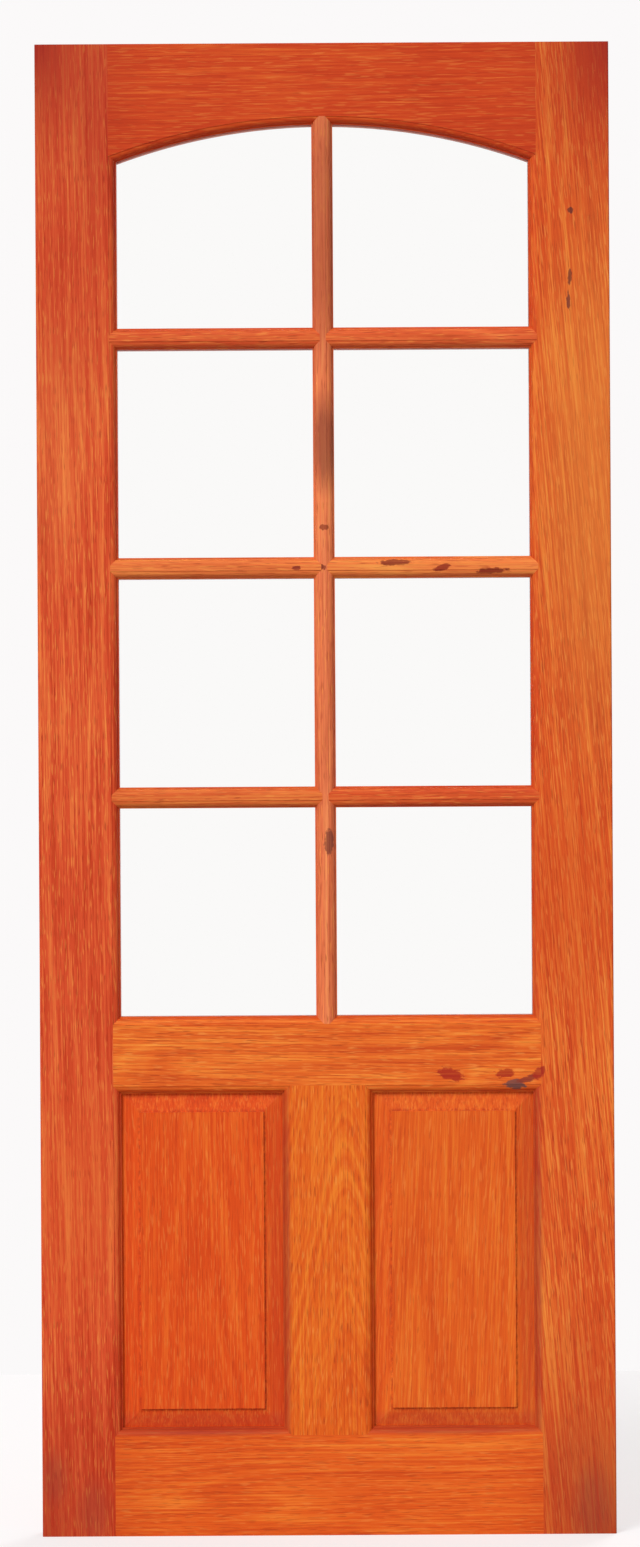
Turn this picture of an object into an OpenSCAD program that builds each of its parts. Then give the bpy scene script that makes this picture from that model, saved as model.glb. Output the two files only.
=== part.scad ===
// Panelled front door leaf in solid hardwood. Two stiles, an arched top rail, a lock rail and a
// bottom rail frame eight glazed lights above a pair of raised and fielded panels.
// Millimetres. X runs across the leaf, Y through it with the outside face at -Y, Z up.
// The origin is the middle of the bottom edge. Every opening is drawn on the left and mirrored.

/* [Leaf] */
// Width over both stiles
leaf_w = 762; // [700:1:926]
// Height from the bottom edge to the top edge
leaf_h = 1981; // [1940:1:2134]
// Thickness of stiles, rails and bars
leaf_t = 44; // [40:1:54]
// Chamfer on the long outer corners of the stiles
arris = 1.5; // [0.5:0.25:4]

/* [Stiles and rails] */
// Width of a stile from its outer edge to its sight edge
stile_w = 107; // [95:1:130]
// Depth of the top rail at the crown of its arch
top_rail_h = 107; // [90:1:130]
// Rise of the arch from the stiles to its crown
arch_rise = 49; // [25:1:80]
// Height of the lock rail between its sight edges
lock_rail_h = 102; // [90:1:130]
// Height of the bottom rail up to its sight edge
bottom_rail_h = 143; // [130:1:180]
// Width of the muntin between its sight edges
muntin_w = 120; // [95:1:140]

/* [Lights] */
// Width of a glazing bar between its sight edges
bar_w = 28; // [26:1:40]
// How much shorter the arched lights are at the crown than the lights below them
crown_short = 7; // [0:1:60]
// Depth of the glazing rebate behind the sight edge
rebate_w = 10; // [8:0.5:11]
// Thickness of the lip that the glass is pressed against
lip_t = 5; // [3:0.5:8]
// Thickness of the glass
glass_t = 4; // [3:0.5:6]
// Room round the edge of each pane
pane_gap = 2; // [1:0.5:3]

/* [Glazing beads] */
// Radius of the rounded corner of a bead
bead_r = 8; // [5:0.5:9]
// How far a bead stops short of the inside face
bead_set = 2; // [0.5:0.5:5]
// Clearance between a bead and the rebate
bead_fit = 0.2; // [0.1:0.05:0.5]

/* [Lower panels] */
// Height of a panel between its sight edges
panel_h = 444; // [390:1:500]
// Width of the sloping border from the sight edge to the field
border_w = 25; // [15:0.5:32]
// Thickness of the raised field
field_t = 31; // [24:0.5:36]
// Height of the square step round the field
field_step = 3; // [1:0.5:4]
// Width of the groove that holds a panel
groove_w = 16; // [8:0.5:18]
// Depth of that groove behind the sight edge
groove_d = 12; // [11:0.5:16]
// Room left for the panel to swell in its groove
swell_gap = 3; // [1.5:0.5:5]
// Clearance on each face of the panel's edge in its groove
panel_fit = 0.2; // [0.1:0.05:0.5]

/* [Ovolo moulding] */
// Radius of the rounded part
ovolo_r = 8; // [6:0.5:9]
// Drop from the face to the start of the round
quirk = 1; // [0.5:0.25:3]
// Flat ledge between the round and the sight edge
ledge = 2; // [1:0.25:3]

/* [Joints] */
// Diameter of the dowels
dowel_d = 12; // [10:1:16]
// Length of the dowels
dowel_l = 100; // [80:1:110]
// Distance between neighbouring dowels
dowel_pitch = 45; // [35:1:50]
// Spare depth at each end of a dowel
dowel_gap = 2; // [1:0.5:4]
// Radial clearance round a dowel
dowel_fit = 0.1; // [0.05:0.05:0.3]
// Length of the stub tenons on the glazing bars
stub_l = 8; // [5:1:15]
// Depth of those tenons through the leaf
stub_t = 16; // [10:1:18]

/* [Hidden] */
$fn = 96;
arch_facets = 360;            // the arch is long, so it is drawn finer than the small rounds
ROWS = [1, 2, 3, 4];          // lights, counted from the arched row down
BAR_ROWS = [1, 2, 3];         // each cross bar lies below the light of its row
SIDES = ["left", "right"];
EDGES = ["bottom", "inner", "top", "outer"]; // the sides of an opening, in the order of its corners

cut = 1;                      // how far a cutting shape runs past the surface that it opens
past = 10;                    // how far a mitre is prolonged, in widths of the moulding
bond = 1;                     // how far a moulded run reaches into the member that it is part of

wood_stile = "#c9501f";
wood_rail = "#d25f22";
wood_panel = "#cf561f";
wood_bar = "#cb5a2a";
wood_bead = "#c2521f";
wood_dowel = "#d9b98a";
glass_tint = [0.86, 0.94, 0.92, 0.35];

ovolo_w = ovolo_r + ledge;
ovolo_d = ovolo_r + quirk;
glass_y = ovolo_d + lip_t;    // depths are counted from the outside face
bead_y = glass_y + glass_t;
bead_back = leaf_t - bead_set;
stub_y = (glass_y + leaf_t - stub_t) / 2;

half_w = leaf_w / 2;
sight_x = half_w - stile_w;
face_x = sight_x + ovolo_w;
bar_face = bar_w / 2 - ovolo_w;   // half of the flat face of a glazing bar
bar_core = bar_w / 2 - rebate_w;  // half of the tongue between its rebates
muntin_face = muntin_w / 2 - ovolo_w;

muntin_z0 = bottom_rail_h - ovolo_w;
lock_z0 = bottom_rail_h + panel_h;
muntin_z1 = lock_z0 + ovolo_w;
lock_z1 = lock_z0 + lock_rail_h;
crown_z = leaf_h - top_rail_h;
arch_r = (sight_x * sight_x + arch_rise * arch_rise) / (2 * arch_rise);
arch_z = crown_z - arch_r;
glazed_h = crown_z - lock_z1;
light_h = (glazed_h - len(BAR_ROWS) * bar_w + crown_short) / len(ROWS);

PANEL = [-sight_x, -muntin_w / 2, bottom_rail_h, lock_z0, false];

// Openings. An opening is [left, right, bottom, top, arched], all at its sight edges.

function row_z(row) = lock_z1 + (len(ROWS) - row) * (light_h + bar_w);
function bar_z(row) = row_z(row) - bar_w / 2;
function light(row) = [
    -sight_x, -bar_w / 2, row_z(row), row == 1 ? crown_z : row_z(row) + light_h, row == 1
];
function head_z(o, x, grow) = o[4] ? arch_z + sqrt(pow(arch_r + grow, 2) - x * x) : o[3] + grow;

// Corners of an opening grown by a margin, from the bottom left one round to the top left one
function corners(o, grow) = [
    [o[0] - grow, o[2] - grow],
    [o[1] + grow, o[2] - grow],
    [o[1] + grow, head_z(o, o[1] + grow, grow)],
    [o[0] - grow, head_z(o, o[0] - grow, grow)]
];
function edge_no(edge) = search([edge], EDGES)[0];
function next(i) = (i + 1) % len(EDGES);

// The area between the arch, grown by a margin, and the top edge of the leaf
module over_arch(half, grow) {
    difference() {
        translate([-half, arch_z]) square([2 * half, leaf_h - arch_z]);
        translate([0, arch_z]) circle(r = arch_r + grow, $fn = arch_facets);
    }
}

module outline(o, grow) {
    difference() {
        translate([o[0] - grow, o[2] - grow])
            square([o[1] - o[0] + 2 * grow, o[3] - o[2] + 2 * grow]);
        if (o[4]) over_arch(half_w, grow);
    }
}

// Placing of flat shapes

// A shape drawn in X and Z, made a plate from one depth to another
module plate(y0, y1) {
    translate([0, y1 - leaf_t / 2, 0]) rotate([90, 0, 0]) linear_extrude(y1 - y0) children();
}

module on_side(side) {
    mirror([side == "left" ? 0 : 1, 0, 0]) children();
}

module both_sides() {
    children();
    mirror([1, 0, 0]) children();
}

// One side of an opening, as a section drawn in distance from the sight edge and in depth

module run(o, edge) {
    i = edge_no(edge);
    from = corners(o, 0)[i];
    to = corners(o, 0)[next(i)];
    spare = 2 * ovolo_w + rebate_w;
    if (o[4] && edge == "top")
        translate([0, -leaf_t / 2, arch_z]) rotate([-90, 0, 0])
            rotate_extrude($fn = arch_facets) translate([arch_r, 0]) children();
    else
        translate([from.x, -leaf_t / 2, from.y]) rotate([0, 90 - 90 * i, 0])
            translate([0, 0, -spare]) linear_extrude(norm(to - from) + 2 * spare) children();
}

// The wedge between the two mitres at the ends of that side
module mitres(o, edge, w) {
    i = edge_no(edge);
    a = corners(o, 0)[i];
    b = corners(o, 0)[next(i)];
    a_out = corners(o, w)[i] - a;
    b_out = corners(o, w)[next(i)] - b;
    plate(-cut, leaf_t + cut)
        polygon([a - a_out / 2, b - b_out / 2, b + past * b_out, a + past * a_out]);
}

module mitred_side(o, edge, w) {
    intersection() {
        run(o, edge) children();
        mitres(o, edge, w);
    }
}

// Sections

module ovolo_void() {
    difference() {
        translate([-cut, -cut]) square([ovolo_w + cut, ovolo_d + cut]);
        translate([ovolo_w, ovolo_d]) circle(r = ovolo_r);
    }
}

module light_section() {
    difference() {
        square([ovolo_w + bond, leaf_t]);
        ovolo_void();
        translate([-cut, glass_y]) square([rebate_w + cut, leaf_t]);
    }
}

module panel_section() {
    difference() {
        square([ovolo_w + bond, leaf_t]);
        ovolo_void();
        translate([0, leaf_t]) mirror([0, 1]) ovolo_void();
        translate([-cut, (leaf_t - groove_w) / 2]) square([groove_d + cut, groove_w]);
    }
}

module bead_section() {
    difference() {
        translate([0, bead_y]) square([rebate_w - bead_fit, bead_back - bead_y]);
        difference() {
            translate([-cut, bead_back - bead_r]) square([bead_r + cut, bead_r + cut]);
            translate([bead_r, bead_back - bead_r]) circle(r = bead_r);
        }
    }
}

module light_moulding(row, edge) {
    mitred_side(light(row), edge, ovolo_w) light_section();
}

module panel_moulding(edge) {
    mitred_side(PANEL, edge, ovolo_w) panel_section();
}

// The stretch of a member between two heights or two places across the leaf, where its runs end
module shoulders(x0, x1) {
    intersection() {
        children();
        plate(-cut, leaf_t + cut) translate([x0, -cut]) square([x1 - x0, leaf_h + 2 * cut]);
    }
}

module ends(z0, z1) {
    intersection() {
        children();
        plate(-cut, leaf_t + cut) translate([-half_w, z0]) square([leaf_w, z1 - z0]);
    }
}

// The part of a rebate or groove that is cut into the members round an opening
module rebate(row) {
    plate(glass_y, leaf_t + cut) outline(light(row), rebate_w);
}

module groove() {
    plate((leaf_t - groove_w) / 2, (leaf_t + groove_w) / 2) outline(PANEL, groove_d);
}

// Joints inside the frame

function spread(middle, count) = [
    for (i = [0 : count - 1]) middle + (i - (count - 1) / 2) * dowel_pitch
];
top_dowels = spread(leaf_h - (top_rail_h + arch_rise) / 2, 2);
lock_dowels = spread(lock_z0 + lock_rail_h / 2, 2);
bottom_dowels = spread((bottom_rail_h - ovolo_w) / 2, 3);
muntin_dowel_x = spread(0, 2);
muntin_dowel_z = [muntin_z0, muntin_z1];

module rail_pegs(heights, r, l) {
    for (z = heights)
        translate([-face_x, 0, z]) rotate([0, 90, 0]) cylinder(r = r, h = l, center = true);
}

module muntin_pegs(r, l) {
    for (x = muntin_dowel_x, z = muntin_dowel_z)
        translate([x, 0, z]) cylinder(r = r, h = l, center = true);
}

module rail_holes(heights) {
    rail_pegs(heights, dowel_d / 2 + dowel_fit, dowel_l + 2 * dowel_gap);
}

module muntin_holes() {
    muntin_pegs(dowel_d / 2 + dowel_fit, dowel_l + 2 * dowel_gap);
}

// Stub tenon of a cross bar in the stile
module cross_tenon(row, l) {
    translate([-face_x - stub_l, stub_y - leaf_t / 2, bar_z(row) - bar_core])
        cube([l, stub_t, 2 * bar_core]);
}

// Stub tenon of the centre bar, from a height upwards
module centre_tenon(z, l) {
    translate([-bar_core, stub_y - leaf_t / 2, z]) cube([2 * bar_core, stub_t, l]);
}

// Stiles and rails

module stile() {
    color(wood_stile) difference() {
        union() {
            translate([-half_w, -leaf_t / 2, 0]) linear_extrude(leaf_h) polygon([
                [arris, 0], [half_w - face_x, 0], [half_w - face_x, leaf_t], [arris, leaf_t],
                [0, leaf_t - arris], [0, arris]
            ]);
            for (row = ROWS) light_moulding(row, "outer");
            panel_moulding("outer");
        }
        if (rebate_w > ovolo_w)
            for (row = ROWS) rebate(row);
        groove();
        rail_holes(concat(top_dowels, lock_dowels, bottom_dowels));
        for (row = BAR_ROWS) cross_tenon(row, stub_l);
    }
}

module top_rail() {
    color(wood_rail) difference() {
        union() {
            plate(0, leaf_t) over_arch(face_x, ovolo_w);
            shoulders(-face_x, face_x) both_sides() light_moulding(1, "top");
        }
        if (rebate_w > ovolo_w)
            both_sides() rebate(1);
        both_sides() rail_holes(top_dowels);
        centre_tenon(crown_z, ovolo_w + stub_l);
    }
}

module lock_rail() {
    color(wood_rail) difference() {
        union() {
            plate(0, leaf_t) translate([-face_x, lock_z0 + ovolo_w])
                square([2 * face_x, lock_rail_h - 2 * ovolo_w]);
            shoulders(-face_x, face_x) both_sides() {
                light_moulding(len(ROWS), "bottom");
                panel_moulding("top");
            }
        }
        if (rebate_w > ovolo_w)
            both_sides() rebate(len(ROWS));
        both_sides() groove();
        both_sides() rail_holes(lock_dowels);
        muntin_holes();
        centre_tenon(lock_z1 - ovolo_w - stub_l, ovolo_w + stub_l);
    }
}

module bottom_rail() {
    color(wood_rail) difference() {
        union() {
            plate(0, leaf_t) translate([-face_x, 0])
                square([2 * face_x, bottom_rail_h - ovolo_w]);
            shoulders(-face_x, face_x) both_sides() panel_moulding("bottom");
        }
        both_sides() groove();
        both_sides() rail_holes(bottom_dowels);
        muntin_holes();
    }
}

module muntin() {
    color(wood_rail) difference() {
        union() {
            plate(0, leaf_t) translate([-muntin_face, muntin_z0])
                square([2 * muntin_face, muntin_z1 - muntin_z0]);
            ends(muntin_z0, muntin_z1) both_sides() panel_moulding("inner");
        }
        both_sides() groove();
        muntin_holes();
    }
}

// Glazing bars

module centre_bar() {
    color(wood_bar) difference() {
        union() {
            plate(0, leaf_t) difference() {
                translate([-bar_face, lock_z1 - ovolo_w])
                    square([2 * bar_face, leaf_h - lock_z1]);
                over_arch(half_w, ovolo_w);
            }
            difference() {
                ends(lock_z1 - ovolo_w, leaf_h)
                    for (row = ROWS) both_sides() light_moulding(row, "inner");
                plate(-cut, leaf_t + cut) over_arch(half_w, ovolo_w);
            }
            centre_tenon(crown_z, ovolo_w + stub_l);
            centre_tenon(lock_z1 - ovolo_w - stub_l, ovolo_w + stub_l);
        }
        if (rebate_w > ovolo_w)
            for (row = ROWS) both_sides() rebate(row);
    }
}

module cross_bar(row) {
    color(wood_bar) difference() {
        union() {
            plate(0, leaf_t) translate([-face_x, bar_z(row) - bar_face])
                square([face_x - bar_face, 2 * bar_face]);
            shoulders(-face_x, -bar_face) {
                light_moulding(row, "bottom");
                light_moulding(row + 1, "top");
            }
            cross_tenon(row, stub_l + bond);
        }
        if (rebate_w > ovolo_w) {
            rebate(row);
            rebate(row + 1);
        }
    }
}

// Glass and beads

module pane(row) {
    color(glass_tint) plate(glass_y, bead_y) outline(light(row), rebate_w - pane_gap);
}

module bead(row, edge) {
    color(wood_bead) mitred_side(light(row), edge, rebate_w) bead_section();
}

// Raised and fielded panels. The section across the panel and the one up it are crossed, so that
// the sloping borders meet in mitres.

module panel_slope(from, to) {
    edge = groove_d - swell_gap;
    thin = groove_w / 2 - panel_fit;
    thick = field_t / 2;
    half = [
        [from - edge, thin], [from, thin], [from + border_w, thick - field_step],
        [from + border_w, thick], [to - border_w, thick], [to - border_w, thick - field_step],
        [to, thin], [to + edge, thin]
    ];
    polygon(concat(half, [for (i = [len(half) - 1 : -1 : 0]) [half[i].x, -half[i].y]]));
}

module panel() {
    edge = groove_d - swell_gap;
    color(wood_panel) intersection() {
        translate([0, 0, PANEL[2] - edge]) linear_extrude(panel_h + 2 * edge)
            panel_slope(PANEL[0], PANEL[1]);
        translate([PANEL[1] + edge, 0, 0]) rotate([0, -90, 0])
            linear_extrude(PANEL[1] - PANEL[0] + 2 * edge) panel_slope(PANEL[2], PANEL[3]);
    }
}

// Dowels

module rail_dowels(heights) {
    color(wood_dowel) both_sides() rail_pegs(heights, dowel_d / 2, dowel_l);
}

module muntin_dowels() {
    color(wood_dowel) muntin_pegs(dowel_d / 2, dowel_l);
}

// The leaf

for (side = SIDES) {
    on_side(side) stile();
    on_side(side) panel();
}
top_rail();
lock_rail();
bottom_rail();
muntin();
centre_bar();
for (row = BAR_ROWS, side = SIDES) {
    on_side(side) cross_bar(row);
}
for (row = ROWS, side = SIDES) {
    on_side(side) pane(row);
    for (edge = EDGES)
        on_side(side) bead(row, edge);
}
rail_dowels(top_dowels);  // top_rail_dowels
rail_dowels(lock_dowels);  // lock_rail_dowels
rail_dowels(bottom_dowels);  // bottom_rail_dowels
muntin_dowels();
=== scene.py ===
import math

import bpy
from mathutils import Matrix, Vector


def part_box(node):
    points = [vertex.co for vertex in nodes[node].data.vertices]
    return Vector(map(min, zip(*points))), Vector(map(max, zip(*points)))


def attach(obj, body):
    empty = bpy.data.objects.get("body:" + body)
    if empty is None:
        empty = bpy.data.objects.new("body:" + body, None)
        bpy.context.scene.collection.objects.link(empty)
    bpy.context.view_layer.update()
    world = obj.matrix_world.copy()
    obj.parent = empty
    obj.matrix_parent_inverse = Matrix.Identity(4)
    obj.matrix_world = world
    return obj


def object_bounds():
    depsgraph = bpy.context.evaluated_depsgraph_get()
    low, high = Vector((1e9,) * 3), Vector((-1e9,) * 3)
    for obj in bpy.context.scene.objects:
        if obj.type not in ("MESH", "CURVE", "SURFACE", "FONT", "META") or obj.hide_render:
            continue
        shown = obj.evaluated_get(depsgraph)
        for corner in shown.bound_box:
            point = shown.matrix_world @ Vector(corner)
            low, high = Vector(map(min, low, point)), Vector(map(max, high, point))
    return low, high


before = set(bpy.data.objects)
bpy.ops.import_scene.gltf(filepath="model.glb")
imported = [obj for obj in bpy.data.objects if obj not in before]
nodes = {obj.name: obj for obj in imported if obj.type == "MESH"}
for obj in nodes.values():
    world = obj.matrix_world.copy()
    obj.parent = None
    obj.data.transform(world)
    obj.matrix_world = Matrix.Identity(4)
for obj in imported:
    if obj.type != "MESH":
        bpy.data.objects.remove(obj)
cad_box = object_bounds()


# Stiles: the two uprights of the leaf, each one length of red meranti 107 mm wide, planed square,
# with an ovolo stuck on the inner edge. They are glued to the rails on dowels, stained and varnished.
MM = 0.001
FACE = cad_box[1].y


def linear(hex_colour):
    """Turn a colour written as sRGB hex into the linear colour that a socket takes."""
    channels = [int(hex_colour[place:place + 2], 16) / 255 for place in (1, 3, 5)]
    return [c / 12.92 if c <= 0.04045 else ((c + 0.055) / 1.055) ** 2.4 for c in channels] + [1.0]


def add_node(tree, kind, inputs=None, **settings):
    """Add a node with its settings; an input, named by its identifier, gets a value or a link."""
    node = tree.nodes.new(kind)
    for name, value in settings.items():
        setattr(node, name, value)
    sockets = {socket.identifier: socket for socket in node.inputs}
    for name, value in (inputs or {}).items():
        if isinstance(value, bpy.types.Node):
            value = next(socket for socket in value.outputs if not socket.is_unavailable)
        if isinstance(value, bpy.types.NodeSocket):
            tree.links.new(value, sockets[name])
        else:
            sockets[name].default_value = value
    return node


SEED_STEPS = (1.0, 2.7, 5.3)


def grain_noise(tree, board, across, along, seed, detail=2.0):
    """Noise drawn out along the grain, with features of these sizes in millimetres.

    The seed shifts it by unlike steps along the three axes.
    """
    scale = (1 / (across * MM), 1 / (across * MM), 1 / (along * MM))
    offset = [seed * step for step in SEED_STEPS]
    place = add_node(tree, "ShaderNodeMapping", {"Vector": board, "Scale": scale, "Location": offset})
    return add_node(tree, "ShaderNodeTexNoise",
                    {"Vector": place, "Scale": 1.0, "Detail": detail, "Roughness": 0.55})


RING_GAP = 5 * MM
RING_BEND = 30 * MM


def growth_rings(tree, board, taper, seed):
    """Growth rings: distance from the heart, closing in along the grain and bent by slow noise."""
    flat = add_node(tree, "ShaderNodeVectorMath", {"Vector": board, "Vector_001": (1.0, 1.0, 0.0)},
                    operation="MULTIPLY")
    radius = add_node(tree, "ShaderNodeVectorMath", {"Vector": flat}, operation="LENGTH")
    parts = add_node(tree, "ShaderNodeSeparateXYZ", {"Vector": board})
    cone = add_node(tree, "ShaderNodeMath", {
        "Value": parts.outputs["Z"], "Value_001": taper, "Value_002": radius.outputs["Value"]},
        operation="MULTIPLY_ADD")
    bend = grain_noise(tree, board, across=70, along=420, seed=seed, detail=1.0)
    bent = add_node(tree, "ShaderNodeMath", {"Value": bend, "Value_001": RING_BEND, "Value_002": cone},
                    operation="MULTIPLY_ADD")
    count = add_node(tree, "ShaderNodeMath", {"Value": bent, "Value_001": 1 / RING_GAP},
                     operation="MULTIPLY")
    return add_node(tree, "ShaderNodeTexNoise", {"W": count, "Scale": 1.0, "Detail": 2.0},
                    noise_dimensions="1D")


FOOT_SHADE_WIDTH = 1.0 * MM
FOOT_SHADE_SHARE = 0.55


def foot_shade_line(tree, from_middle, foot, rag):
    """A thin dark line of painted shade at the foot of the step round a raised field, broken up by rag."""
    near = add_node(tree, "ShaderNodeMapRange", {
        "Value": from_middle, "From Min": foot - FOOT_SHADE_WIDTH, "From Max": foot, "To Max": FOOT_SHADE_SHARE},
        interpolation_type="SMOOTHSTEP")
    below = add_node(tree, "ShaderNodeMath", {
        "Value": from_middle, "Value_001": foot + FOOT_SHADE_WIDTH / 2}, operation="LESS_THAN")
    line = add_node(tree, "ShaderNodeMath", {"Value": near, "Value_001": below}, operation="MULTIPLY")
    broken = add_node(tree, "ShaderNodeMapRange", {
        "Value": rag, "From Min": 0.4, "From Max": 0.6, "To Max": 1.0})
    return add_node(tree, "ShaderNodeMath", {"Value": line, "Value_001": broken}, operation="MULTIPLY")


CORNER_WIDE = 180 * MM
CORNER_HIGH = 330 * MM
EVEN_SHARE = 0.55


def darker_outer_corners(tree, place, height, fibre):
    """Darker colour towards the four outer corners of the leaf, most of it at the top."""
    middle = (cad_box[0] + cad_box[1]) / 2
    half = cad_box[1] - middle
    out = add_node(tree, "ShaderNodeVectorMath", {"Vector": place, "Vector_001": middle},
                   operation="SUBTRACT")
    out = add_node(tree, "ShaderNodeVectorMath", {"Vector": out}, operation="ABSOLUTE")
    away = add_node(tree, "ShaderNodeVectorMath", {"Vector": half, "Vector_001": out},
                    operation="SUBTRACT")
    away = add_node(tree, "ShaderNodeVectorMath", {
        "Vector": away, "Vector_001": (1 / CORNER_WIDE, 0.0, 1 / CORNER_HIGH)}, operation="MULTIPLY")
    near = add_node(tree, "ShaderNodeTexGradient", {"Vector": away}, gradient_type="QUADRATIC_SPHERE")
    uneven = add_node(tree, "ShaderNodeMath", {"Value": fibre, "Value_001": near}, operation="MULTIPLY")
    darkened = add_node(tree, "ShaderNodeMath", {
        "Value": near, "Value_001": EVEN_SHARE, "Value_002": uneven}, operation="MULTIPLY_ADD")
    strength = add_node(tree, "ShaderNodeMapRange", {
        "Value": height, "From Max": cad_box[1].z, "To Min": 0.65, "To Max": 1.0})
    return add_node(tree, "ShaderNodeMath", {"Value": darkened, "Value_001": strength},
                    operation="MULTIPLY")


PATCH_DEPTH = 1.0


def soft_patch(tree, place, fibre, x, z, wide, high, share):
    """A soft patch through the wood, lighter or darker along the fibre: uneven stain, or painted shade."""
    spot = add_node(tree, "ShaderNodeMapping", {
        "Vector": place, "Location": (x * MM, -FACE, z * MM),
        "Scale": (wide * MM / 2, PATCH_DEPTH, high * MM / 2)}, vector_type="TEXTURE")
    ball = add_node(tree, "ShaderNodeTexGradient", {"Vector": spot}, gradient_type="SPHERICAL")
    uneven = add_node(tree, "ShaderNodeMath", {"Value": ball, "Value_001": fibre}, operation="MULTIPLY")
    return add_node(tree, "ShaderNodeMapRange", {"Value": uneven, "From Max": 0.3, "To Max": share})


MARK_DEPTH = 12 * MM
RAG_SHARE = 0.9


def ragged_mark(tree, place, rag, fibre, x, z, long, high, slope):
    """A single mark on the outside face: an ellipse with a ragged edge, a little streaked by the fibre."""
    spot = add_node(tree, "ShaderNodeMapping", {
        "Vector": place, "Location": (x * MM, -FACE, z * MM),
        "Rotation": (0.0, math.radians(slope), 0.0),
        "Scale": (long * MM / 2, MARK_DEPTH, high * MM / 2)}, vector_type="TEXTURE")
    ball = add_node(tree, "ShaderNodeTexGradient", {"Vector": spot}, gradient_type="SPHERICAL")
    ragged = add_node(tree, "ShaderNodeMath", {"Value": rag, "Value_001": RAG_SHARE, "Value_002": ball},
                      operation="MULTIPLY_ADD")
    spotted = add_node(tree, "ShaderNodeMapRange", {
        "Value": ragged, "From Min": 0.74, "From Max": 0.90, "To Max": 1.0})
    streak = add_node(tree, "ShaderNodeMapRange", {
        "Value": fibre, "From Min": 0.35, "From Max": 0.65, "To Min": 1.0, "To Max": 0.75})
    return add_node(tree, "ShaderNodeMath", {"Value": spotted, "Value_001": streak},
                    operation="MULTIPLY")


FIBRE_SHARE = 0.45
STAIN_STEPS = (0.36, 0.5, 0.64)
HOLLOW_START = 0.5 * MM
HOLLOW_END = 6 * MM
PORE_CUT = 1.2


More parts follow.
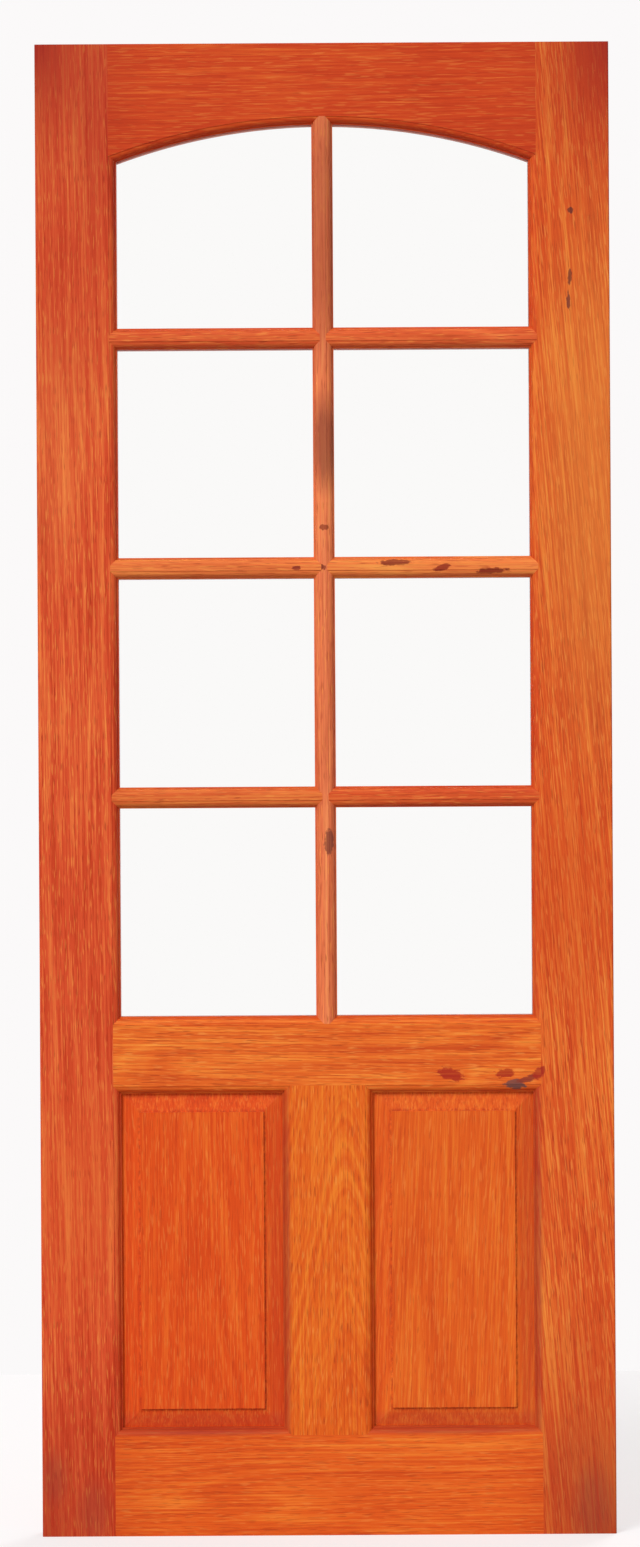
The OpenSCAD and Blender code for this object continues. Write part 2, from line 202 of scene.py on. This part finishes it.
def stained_meranti(name, along, stain, heart, seed, lean=0.0, taper=0.03, figure=0.22, patchy=0.33,
                    pores=1.0, face=FACE, recess_stain_and_shade=0.4, foot=None, corners=False, patches=(), marks=()):
    """Red meranti under an orange red stain and a thin satin varnish.

    The eye gets soft streaks where the growth rings meet the face, fine fibre, short pale and dark
    dashes where the saw opened the pores, and a low sheen that the open grain breaks up.

    The grain lies along this axis, lean degrees off it. stain is the dark, middle and light colour.
    heart is the point in metres that the rings go round, taper how fast they close in along the
    grain, and figure how much they show. patchy is how unevenly the stain took, and pores how
    strongly the pores show. face is how far the face is from the middle of the leaf, and
    recess_stain_and_shade how much stain, with painted shade, lies in the hollows below it. foot is
    the same distance for the foot of the step round a raised field, which gets a line of painted
    shade. corners is for pieces at the leaf's outer corners, which darken towards them, most at the
    top. Each patch is (x, z, wide, high, share, colour), some of them painted shade, and each mark
    (x, z, long, high, slope, colour), in millimetres and degrees on the leaf.
    """
    material = bpy.data.materials.new(name)
    material.use_nodes = True
    tree = material.node_tree
    tree.nodes.clear()

    # Board space: X across the grain, Y through the thickness and Z along the grain
    turn = math.radians(lean + (90 if along == "X" else 0))
    shift = -(Matrix.Rotation(turn, 3, "Y") @ Vector(heart))
    place = add_node(tree, "ShaderNodeTexCoord").outputs["Object"]
    board = add_node(tree, "ShaderNodeMapping", {
        "Vector": place, "Rotation": (0.0, turn, 0.0), "Location": shift})

    # Tone: rings, fibre and slow clouds of stain. Each is a half on average, and so is their sum.
    # Single fibres are too fine to show, so bundles of them, 2.4 mm wide, are drawn instead.
    rings = growth_rings(tree, board, taper, seed)
    fibre = grain_noise(tree, board, across=2.4, along=150, seed=seed + 3)
    cloud = grain_noise(tree, board, across=120, along=380, seed=seed + 7)
    level = (1 - FIBRE_SHARE - figure - patchy) / 2
    tone = add_node(tree, "ShaderNodeMath", {"Value": rings, "Value_001": figure, "Value_002": level},
                    operation="MULTIPLY_ADD")
    tone = add_node(tree, "ShaderNodeMath", {"Value": fibre, "Value_001": FIBRE_SHARE, "Value_002": tone},
                    operation="MULTIPLY_ADD")
    tone = add_node(tree, "ShaderNodeMath", {"Value": cloud, "Value_001": patchy, "Value_002": tone},
                    operation="MULTIPLY_ADD")
    colour = add_node(tree, "ShaderNodeValToRGB", {"Fac": tone})
    steps = colour.color_ramp.elements
    steps.new(STAIN_STEPS[1])
    for step, position, hex_colour in zip(steps, STAIN_STEPS, stain):
        step.position = position
        step.color = linear(hex_colour)

    # Pores: pale dashes that caught no stain, and dark ones that held it. Real ones are a few tenths
    # of a millimetre wide, too fine to show, so they are drawn more than a millimetre wide.
    pale_noise = grain_noise(tree, board, across=1.3, along=20, seed=seed + 11, detail=0.0)
    pale = add_node(tree, "ShaderNodeMapRange", {
        "Value": pale_noise, "From Min": 0.62, "From Max": 0.72, "To Max": 0.40 * pores})
    dark_noise = grain_noise(tree, board, across=1.1, along=20, seed=seed + 17, detail=0.0)
    dark = add_node(tree, "ShaderNodeMapRange", {
        "Value": dark_noise, "From Min": 0.64, "From Max": 0.74, "To Max": 0.48 * pores})

    # Stain in the hollows of the mouldings below both faces, with painted shade: deeper is darker
    folded = add_node(tree, "ShaderNodeVectorMath", {"Vector": place}, operation="ABSOLUTE")
    parts = add_node(tree, "ShaderNodeSeparateXYZ", {"Vector": folded})
    from_middle = parts.outputs["Y"]
    height = parts.outputs["Z"]
    recess_stain_and_shade_mask = add_node(tree, "ShaderNodeMapRange", {
        "Value": from_middle, "From Min": face - HOLLOW_START, "From Max": face - HOLLOW_END,
        "To Max": recess_stain_and_shade}, interpolation_type="SMOOTHSTEP")

    # Layers of colour over the wood, each with the share of it that shows
    layers = [(pale, "#F29A48"), (dark, "#93280F"), (recess_stain_and_shade_mask, "#C4360E")]
    rag = grain_noise(tree, board, across=4, along=7, seed=seed + 23)
    # A thin line of painted shade at the foot of the field's step
    if foot:
        layers.append((foot_shade_line(tree, from_middle, foot, rag), "#9A2C14"))
    if corners:
        layers.append((darker_outer_corners(tree, place, height, fibre), "#A02818"))
    for *shape, hex_colour in patches:
        layers.append((soft_patch(tree, place, fibre, *shape), hex_colour))
    for *shape, hex_colour in marks:
        layers.append((ragged_mark(tree, place, rag, fibre, *shape), hex_colour))
    for share, hex_colour in layers:
        colour = add_node(tree, "ShaderNodeMix", {
            "Factor_Float": share, "A_Color": colour, "B_Color": linear(hex_colour)}, data_type="RGBA")

    # Open grain: the dark pores are shallow cuts, and the sheen changes with the fibre
    relief = add_node(tree, "ShaderNodeMath", {"Value": dark, "Value_001": -PORE_CUT, "Value_002": fibre},
                      operation="MULTIPLY_ADD")
    bump = add_node(tree, "ShaderNodeBump", {"Height": relief, "Strength": 0.35, "Distance": 0.25 * MM})
    gloss = add_node(tree, "ShaderNodeMapRange", {
        "Value": fibre, "From Min": 0.3, "From Max": 0.7, "To Min": 0.42, "To Max": 0.56})
    shader = add_node(tree, "ShaderNodeBsdfPrincipled", {
        "Base Color": colour, "Roughness": gloss, "Normal": bump, "IOR": 1.5, "Specular IOR Level": 0.12})
    add_node(tree, "ShaderNodeOutputMaterial", {"Surface": shader})
    return material


STILES = {
    "left_stile": {
        "stain": ("#BA3313", "#D74F29", "#ED7F3D"), "heart": (-0.45, 0.16, 0.99), "seed": 1.3, "lean": 0.8,
        "patches": [(-365, 1430, 110, 420, 0.15, "#E88848"), (-285, 1880, 110, 420, 0.3, "#A02818"),
                    (-330, 1640, 160, 420, 0.25, "#B4381E"), (-330, 443, 160, 460, 0.4, "#D24A1C"),
                    (-312, 32, 56, 110, 0.26, "#7A3A30"), (-366, 78, 44, 90, 0.25, "#7A3A30")]},
    "right_stile": {
        "stain": ("#BA3613", "#D7541F", "#EE8937"), "heart": (0.50, 0.18, 0.99), "seed": 4.1, "lean": 5.0,
        # The narrow patch at x 278 is painted shade on the ovolo beside the right panel.
        "patches": [(365, 1400, 200, 900, 0.42, "#E48C3A"), (330, 842, 160, 420, 0.3, "#CC4A18"),
                    (335, 60, 160, 260, 0.3, "#A03A22"), (278, 340, 16, 900, 0.55, "#8E2A24"),
                    (330, 180, 160, 320, 0.25, "#B8401A"), (350, 34, 66, 140, 0.3, "#7A3A30")],
        "marks": [(329, 1757, 13, 12, 0, "#6E3024"), (328, 1668, 8, 30, 2, "#6E3024"),
                  (326, 1637, 8, 36, -2, "#74342A"), (282, 613, 28, 22, -40, "#A42A1A")]},
}
for name, look in STILES.items():
    wood = stained_meranti("stained_meranti_" + name, "Z", corners=True, taper=0.012, **look)
    nodes[name].material_slots[0].material = wood


# Rails and muntin: the top rail with its arch, the lock rail, the bottom rail and the short upright
# between the panels, cut from the same meranti. The rails run between the stiles, so their grain lies
# across the leaf, and dowels hold their ends.
RAILS = {
    "top_rail": {
        "along": "X", "stain": ("#B73513", "#CA4319", "#D95E23"), "heart": (0.1, 0.12, 2.02), "seed": 2.2,
        "lean": 0.6, "taper": 0.02, "figure": 0.16, "pores": 0.5, "corners": True},
    "lock_rail": {
        "along": "X", "stain": ("#CB4C19", "#E46923", "#F6963A"), "heart": (-0.1, 0.09, 0.60), "seed": 6.4,
        "lean": -1.0, "taper": 0.03,
        "marks": [(164, 611, 56, 24, 14, "#A82A18"), (236, 612, 40, 18, -4, "#A42616"),
                  (250, 597, 48, 20, 6, "#6E4440"), (266, 604, 40, 14, -20, "#8A3426"),
                  (282, 613, 28, 22, -40, "#A42A1A")]},
    "bottom_rail": {
        "along": "X", "stain": ("#CD4916", "#E15C1B", "#EE7C29"), "heart": (0.2, 0.12, 0.02), "seed": 8.8,
        "lean": 0.5, "taper": 0.02, "pores": 0.7, "corners": True,
        # Both patches are painted shade on the ovolos under the panels.
        "patches": [(-167, 139, 440, 16, 0.55, "#8E2A24"), (167, 139, 440, 16, 0.55, "#8E2A24")]},
    "muntin": {
        "along": "Z", "stain": ("#CD4C15", "#DE5E18", "#EB7D25"), "heart": (0.022, 0.010, 0.36), "seed": 3.7,
        # Its patch is painted shade on the ovolo beside the left panel.
        "lean": 0.4, "taper": 0.20, "figure": 0.27, "patches": [(-56, 340, 16, 900, 0.55, "#8E2A24")]},
}
for name, look in RAILS.items():
    nodes[name].material_slots[0].material = stained_meranti("stained_meranti_" + name, **look)


# Lower panels: two raised and fielded panels of meranti, bevelled on four sides and left loose in the
# grooves of the stiles, rails and muntin so that they can swell. Their grain is upright.
FIELD_STEP = 3 * MM
# In each panel, the patches are painted shade on the right and bottom bevels.
PANELS = {
    "left_panel": {
        "stain": ("#CB4011", "#DD4F16", "#E96D23"), "heart": (-0.16, 0.10, 0.36), "seed": 5.5, "lean": 0.2,
        "patches": [(-67, 330, 34, 900, 0.15, "#9E2E30"), (-167, 151, 440, 34, 0.24, "#9E2E30")]},
    "right_panel": {
        "stain": ("#CB4915", "#DD5B1A", "#EA7B28"), "heart": (0.14, 0.11, 0.36), "seed": 7.9, "lean": -2.5,
        "patches": [(267, 330, 34, 900, 0.20, "#9E2E30"), (167, 151, 440, 34, 0.24, "#9E2E30")]},
}
for name, look in PANELS.items():
    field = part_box(name)[1].y
    wood = stained_meranti("stained_meranti_" + name, "Z", patchy=0.15, pores=0.6, face=field,
                           recess_stain_and_shade=0.04, foot=field - FIELD_STEP, **look)
    nodes[name].material_slots[0].material = wood


# Glazing bars: one upright bar in a single length and six short cross bars between it and the stiles,
# moulded like them on the outside face and rebated for the glass on the inside. Stub tenons hold them
# in the stiles and rails. The second pair of cross bars shares one look.
BARS = {
    "centre_bar": {
        "along": "Z", "stain": ("#C96039", "#E67A4C", "#F59A5C"), "heart": (0.05, 0.1, 1.3), "seed": 1.9,
        "lean": 0.3,
        "patches": [(0, 1740, 80, 420, 0.55, "#A24A30"), (2, 1452, 44, 160, 0.7, "#84402E")],
        "marks": [(0, 1338, 20, 12, 0, "#9A4428"), (-6, 1286, 28, 13, 8, "#7E3020"),
                  (5, 920, 20, 52, 0, "#8A4432")]},
    "cross_bar_1_left": {
        "along": "X", "stain": ("#BC421D", "#D05027", "#E06C35"), "heart": (0.0, 0.1, 1.63), "seed": 2.9,
        "lean": 0.5},
    "cross_bar_1_right": {
        "along": "X", "stain": ("#C64E23", "#DC5F30", "#EA7D3F"), "heart": (0.0, 0.1, 1.63), "seed": 3.4,
        "lean": 0.5},
    "cross_bar_2": {
        "along": "X", "stain": ("#D26430", "#E6783C", "#F49D4A"), "heart": (0.0, 0.1, 1.32), "seed": 5.1,
        "lean": -0.7,
        "marks": [(-37, 1284, 18, 10, 0, "#8A3020"), (93, 1291, 62, 14, -2, "#7C2216"),
                  (157, 1284, 34, 13, -14, "#8E2818"), (222, 1279, 66, 12, -3, "#842416")]},
    "cross_bar_3_left": {
        "along": "X", "stain": ("#C55225", "#D8642E", "#E8863E"), "heart": (0.0, 0.1, 1.02), "seed": 6.7,
        "lean": 0.4},
    "cross_bar_3_right": {
        "along": "X", "stain": ("#BF431E", "#D25225", "#E26D33"), "heart": (0.0, 0.1, 1.02), "seed": 7.3,
        "lean": 0.4},
}
for name, look in BARS.items():
    wood = stained_meranti("stained_meranti_" + name, taper=0.02, recess_stain_and_shade=0.25, **look)
    for node in nodes:
        if node.startswith(name):
            nodes[node].material_slots[0].material = wood


# Panes: eight sheets of clear 4 mm float glass, cut to each light and set in its rebate with a small
# gap all round. Float glass is flat and bright, with a trace of green and a wiped surface.
def float_glass():
    """Clear float glass: sharp reflections, a trace of green and faint wipe marks."""
    material = bpy.data.materials.new("clear_float_glass")
    material.use_nodes = True
    tree = material.node_tree
    tree.nodes.clear()
    place = add_node(tree, "ShaderNodeTexCoord").outputs["Object"]
    wipe = grain_noise(tree, place, across=90, along=40, seed=0.4)
    dull = add_node(tree, "ShaderNodeMapRange", {
        "Value": wipe, "From Min": 0.4, "From Max": 0.8, "To Min": 0.0, "To Max": 0.03})
    shader = add_node(tree, "ShaderNodeBsdfPrincipled", {
        "Base Color": linear("#FEFFFE"), "Roughness": dull, "IOR": 1.5, "Transmission Weight": 1.0})
    add_node(tree, "ShaderNodeOutputMaterial", {"Surface": shader})
    return material


glass = float_glass()
for name in nodes:
    if name.startswith("pane_"):
        nodes[name].material_slots[0].material = glass


# Glazing beads: thirty-two mitred strips of meranti with one rounded corner, which hold the panes from
# the inside. Upright beads and level ones are cut along their own grain.
BEAD_STAIN = ("#BC4C24", "#D05E30", "#E07E40")
level_bead = stained_meranti("stained_meranti_level_beads", "X", BEAD_STAIN,
                             heart=(0.0, 0.1, 0.9), seed=9.3)
upright_bead = stained_meranti("stained_meranti_upright_beads", "Z", BEAD_STAIN,
                               heart=(0.1, 0.1, 1.3), seed=8.1)
for name in nodes:
    if name.startswith("bead_"):
        level = name.endswith(("_top", "_bottom"))
        nodes[name].material_slots[0].material = level_bead if level else upright_bead


# Bead pins: bright steel pins driven on the slant through the rounded corner of each bead, so that they
# reach the wood of the rebate. They stand in an even row, with their small domed heads just proud.
# The rise of the arch and the top rail's depth at its crown are those of the solids.
PIN_SPACING = 95 * MM
PIN_INSET = 38 * MM
PIN_HEAD = 1.0 * MM
PIN_DOME = 0.4
BEAD_ROUND = 8 * MM
ARCH_RISE = 49 * MM
TOP_RAIL_DEPTH = 107 * MM
ARCH_POINTS = 9
X, Z = 0, 2

sight_half = -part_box("bead_4_left_outer")[1].x
arch_radius = (sight_half ** 2 + ARCH_RISE ** 2) / (2 * ARCH_RISE)
arch_z = cad_box[1].z - TOP_RAIL_DEPTH - arch_radius
slant = BEAD_ROUND * (1 - math.sqrt(0.5))


def straight_pins(bead, along, across, light):
    """Both ends of the row of pins in a straight bead, with the way that the pins face."""
    low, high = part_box(bead)
    inward = 1 if light[across] > low[across] else -1
    sight = high[across] if inward > 0 else low[across]
    facing = Vector((0, 1, 0))
    facing[across] = inward
    ends = []
    for place in (low[along] + PIN_INSET, high[along] - PIN_INSET):
        point = Vector((0, high.y - slant, 0))
        point[along] = place
        point[across] = sight - inward * slant
        ends.append((point, facing))
    return ends


def arched_pins(bead):
    """Points along the row of pins in an arched bead, with the way that each pin faces."""
    low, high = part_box(bead)
    row_radius = arch_radius + slant
    length = high.x - low.x - 2 * PIN_INSET
    row = []
    for step in range(ARCH_POINTS):
        x = low.x + PIN_INSET + length * step / (ARCH_POINTS - 1)
        rise = math.sqrt(row_radius ** 2 - x ** 2)
        point = Vector((x, high.y - slant, arch_z + rise))
        facing = Vector((-x / row_radius, 1, -rise / row_radius))
        row.append((point, facing))
    return row


def bright_steel():
    """Drawn steel: a grey metal with a slightly uneven shine."""
    material = bpy.data.materials.new("bright_steel")
    material.use_nodes = True
    tree = material.node_tree
    tree.nodes.clear()
    place = add_node(tree, "ShaderNodeTexCoord").outputs["Object"]
    wear = grain_noise(tree, place, across=0.4, along=0.4, seed=3.0)
    dull = add_node(tree, "ShaderNodeMapRange", {"Value": wear, "To Min": 0.25, "To Max": 0.5})
    shader = add_node(tree, "ShaderNodeBsdfPrincipled", {
        "Base Color": linear("#C4BFB6"), "Metallic": 1.0, "Roughness": dull})
    add_node(tree, "ShaderNodeOutputMaterial", {"Surface": shader})
    return material


def pin_tree(steel):
    """Nodes that set a domed head at even distances along each row, square to the way it faces."""
    tree = bpy.data.node_groups.new("bead_pins", "GeometryNodeTree")
    sockets = tree.interface
    sockets.new_socket("Rows", in_out="INPUT", socket_type="NodeSocketGeometry")
    for size in ("Spacing", "Head Radius"):
        sockets.new_socket(size, in_out="INPUT", socket_type="NodeSocketFloat")
    result = sockets.new_socket("Pins", in_out="OUTPUT", socket_type="NodeSocketGeometry")
    given = add_node(tree, "NodeGroupInput")
    rows = add_node(tree, "GeometryNodeMeshToCurve", {"Mesh": given.outputs["Rows"]})
    places = add_node(tree, "GeometryNodeResampleCurve", {
        "Curve": rows, "Length": given.outputs["Spacing"]}, mode="LENGTH")
    ball = add_node(tree, "GeometryNodeMeshUVSphere", {
        "Segments": 12, "Rings": 6, "Radius": given.outputs["Head Radius"]})
    ball = add_node(tree, "GeometryNodeSetShadeSmooth", {"Geometry": ball})
    facing = add_node(tree, "GeometryNodeInputNamedAttribute", {"Name": "facing"}, data_type="FLOAT_VECTOR")
    turned = add_node(tree, "FunctionNodeAlignRotationToVector", {"Vector": facing}, axis="Z")
    heads = add_node(tree, "GeometryNodeInstanceOnPoints", {
        "Points": places, "Instance": ball, "Rotation": turned, "Scale": (1.0, 1.0, PIN_DOME)})
    heads = add_node(tree, "GeometryNodeRealizeInstances", {"Geometry": heads})
    heads = add_node(tree, "GeometryNodeSetMaterial", {"Geometry": heads, "Material": steel})
    add_node(tree, "NodeGroupOutput", {result.identifier: heads})
    return tree


points, facings, edges = [], [], []
for name in nodes:
    if not name.startswith("bead_"):
        continue
    _, row, side, edge = name.split("_")
    pane_low, pane_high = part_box(f"pane_{row}_{side}")
    if row == "1" and edge == "top":
        line = arched_pins(name)
    elif edge in ("top", "bottom"):
        line = straight_pins(name, X, Z, (pane_low + pane_high) / 2)
    else:
        line = straight_pins(name, Z, X, (pane_low + pane_high) / 2)
    edges += [(len(points) + step, len(points) + step + 1) for step in range(len(line) - 1)]
    points += [point for point, facing in line]
    facings += [number for point, facing in line for number in facing]

row_mesh = bpy.data.meshes.new("pin_rows")
row_mesh.from_pydata(points, edges, [])
row_mesh.attributes.new("facing", "FLOAT_VECTOR", "POINT").data.foreach_set("vector", facings)
rows = bpy.data.objects.new("pin_rows", row_mesh)
bpy.context.scene.collection.objects.link(rows)
tree = pin_tree(bright_steel())
maker = rows.modifiers.new("pins", "NODES")
maker.node_group = tree
for socket in tree.interface.items_tree:
    if socket.name == "Spacing":
        maker[socket.identifier] = PIN_SPACING
    if socket.name == "Head Radius":
        maker[socket.identifier] = PIN_HEAD
made = rows.evaluated_get(bpy.context.evaluated_depsgraph_get())
pins = bpy.data.objects.new("bead_pins", bpy.data.meshes.new_from_object(made))
pins.data.materials.pop(index=0)  # the empty slot that the sphere brings
rows.modifiers.remove(maker)
bpy.data.objects.remove(rows)
bpy.context.scene.collection.objects.link(pins)
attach(pins, "root")


# Dowels: round pegs of plain beech, glued into the ends of the rails and of the muntin. They are
# hidden once the leaf is glued up.
def plain_beech():
    """Beech: pale, even wood with short darker flecks along the grain, left unvarnished."""
    material = bpy.data.materials.new("plain_beech")
    material.use_nodes = True
    tree = material.node_tree
    tree.nodes.clear()
    place = add_node(tree, "ShaderNodeTexCoord").outputs["Object"]
    turned = add_node(tree, "ShaderNodeMapping", {"Vector": place, "Rotation": (0.0, math.pi / 2, 0.0)})
    fleck = grain_noise(tree, turned, across=0.8, along=4, seed=2.0)
    colour = add_node(tree, "ShaderNodeMix", {
        "Factor_Float": fleck, "A_Color": linear("#C79B6A"), "B_Color": linear("#E8CBA0")},
        data_type="RGBA")
    shader = add_node(tree, "ShaderNodeBsdfPrincipled", {"Base Color": colour, "Roughness": 0.65})
    add_node(tree, "ShaderNodeOutputMaterial", {"Surface": shader})
    return material


beech = plain_beech()
for name in nodes:
    if name.endswith("_dowels"):
        nodes[name].material_slots[0].material = beech


# Floor: a pale sheet of card under the leaf, which takes its shadow. To the camera, in gloss and through
# glass it glows a little, so that it runs into the white surround.
FLOOR_WIDE = 4.8
FLOOR_DEEP = 3.2
CARD_GREY = "#B0AFAE"
CARD_WHITE = "#FAF8F8"
GLOW = 1.02
GLOW_SHARE = 0.6


def background_seen(tree):
    """One for a ray that sees the plain background: the camera's, or one in gloss or through glass."""
    ray = add_node(tree, "ShaderNodeLightPath")
    seen = add_node(tree, "ShaderNodeMath", {
        "Value": ray.outputs["Is Camera Ray"], "Value_001": ray.outputs["Is Glossy Ray"]},
        operation="MAXIMUM")
    return add_node(tree, "ShaderNodeMath", {
        "Value": seen, "Value_001": ray.outputs["Is Transmission Ray"]}, operation="MAXIMUM")


def pale_card():
    """Matt card, grey to the light that it throws back on the leaf and white where it is seen."""
    material = bpy.data.materials.new("pale_card")
    material.use_nodes = True
    tree = material.node_tree
    tree.nodes.clear()
    seen = background_seen(tree)
    paper = add_node(tree, "ShaderNodeMix", {
        "Factor_Float": seen, "A_Color": linear(CARD_GREY), "B_Color": linear(CARD_WHITE)},
        data_type="RGBA")
    matt = add_node(tree, "ShaderNodeBsdfDiffuse", {"Color": paper})
    lit = add_node(tree, "ShaderNodeEmission", {"Color": linear(CARD_WHITE), "Strength": GLOW})
    share = add_node(tree, "ShaderNodeMath", {"Value": seen, "Value_001": GLOW_SHARE},
                     operation="MULTIPLY")
    mixed = add_node(tree, "ShaderNodeMixShader", {"Fac": share, "Shader": matt, "Shader_001": lit})
    add_node(tree, "ShaderNodeOutputMaterial", {"Surface": mixed})
    return material


outline = [(x * FLOOR_WIDE / 2, y * FLOOR_DEEP / 2, 0) for x, y in ((-1, -1), (1, -1), (1, 1), (-1, 1))]
floor_mesh = bpy.data.meshes.new("floor")
floor_mesh.from_pydata(outline, [], [(0, 1, 2, 3)])
floor_mesh.materials.append(pale_card())
floor = bpy.data.objects.new("floor", floor_mesh)
bpy.context.scene.collection.objects.link(floor)


# Light: a soft key from the upper left, a weaker lamp straight in front that opens up the mouldings, one
# behind for the inside face, and an even white surround that the camera, gloss and glass see in full.
LAMP_DISC = 24
AMBIENT = 0.46
OUTSIDE = (0, -1, 0)
INSIDE = (0, 1, 0)


def soft_lamp(name, towards, share, facing, mirrored=True):
    """A sun lamp with a wide disc, which adds this share of plain light to a face that faces so.

    Gloss and glass don't mirror it where mirrored is False.
    """
    lamp = bpy.data.lights.new(name, "SUN")
    direction = Vector(towards).normalized()
    lamp.energy = share * math.pi / direction.dot(Vector(facing))
    lamp.angle = math.radians(LAMP_DISC)
    lamp_object = bpy.data.objects.new(name, lamp)
    lamp_object.rotation_euler = direction.to_track_quat("Z", "Y").to_euler()
    lamp_object.visible_glossy = mirrored
    lamp_object.visible_transmission = mirrored
    bpy.context.scene.collection.objects.link(lamp_object)


soft_lamp("key", towards=(-0.42, -0.70, 0.575), share=0.48, facing=OUTSIDE)
soft_lamp("front", towards=(0.05, -1.0, 0.08), share=0.08, facing=OUTSIDE, mirrored=False)
soft_lamp("back", towards=(0.35, 0.85, 0.40), share=0.45, facing=INSIDE)

world = bpy.data.worlds.new("white_surround")
world.use_nodes = True
bpy.context.scene.world = world
sky = world.node_tree
sky.nodes.clear()
brightness = add_node(sky, "ShaderNodeMapRange", {
    "Value": background_seen(sky), "To Min": AMBIENT, "To Max": 1.0})
surround = add_node(sky, "ShaderNodeBackground", {"Color": linear("#FBF9F9"), "Strength": brightness})
add_node(sky, "ShaderNodeOutputWorld", {"Surface": surround})


# Camera: square on to the outside face, as far off as a long lens asks, rolled a third of a degree.
# The view is a little taller than the leaf.
DISTANCE = 6.0
VIEW_HEIGHT = 2.0535
CAMERA_X = -0.0072
CAMERA_Z = 1.0112
ROLL = -0.33
camera = bpy.data.cameras.new("camera")
camera.sensor_width = 36.0
camera.lens = camera.sensor_width * (DISTANCE - FACE) / VIEW_HEIGHT
camera_object = bpy.data.objects.new("camera", camera)
upright = Matrix.Rotation(math.pi / 2, 4, "X") @ Matrix.Rotation(math.radians(ROLL), 4, "Z")
camera_object.matrix_world = Matrix.Translation((CAMERA_X, -DISTANCE, CAMERA_Z)) @ upright
bpy.context.scene.collection.objects.link(camera_object)
bpy.context.scene.camera = camera_object
bpy.context.scene.view_settings.view_transform = "Standard"
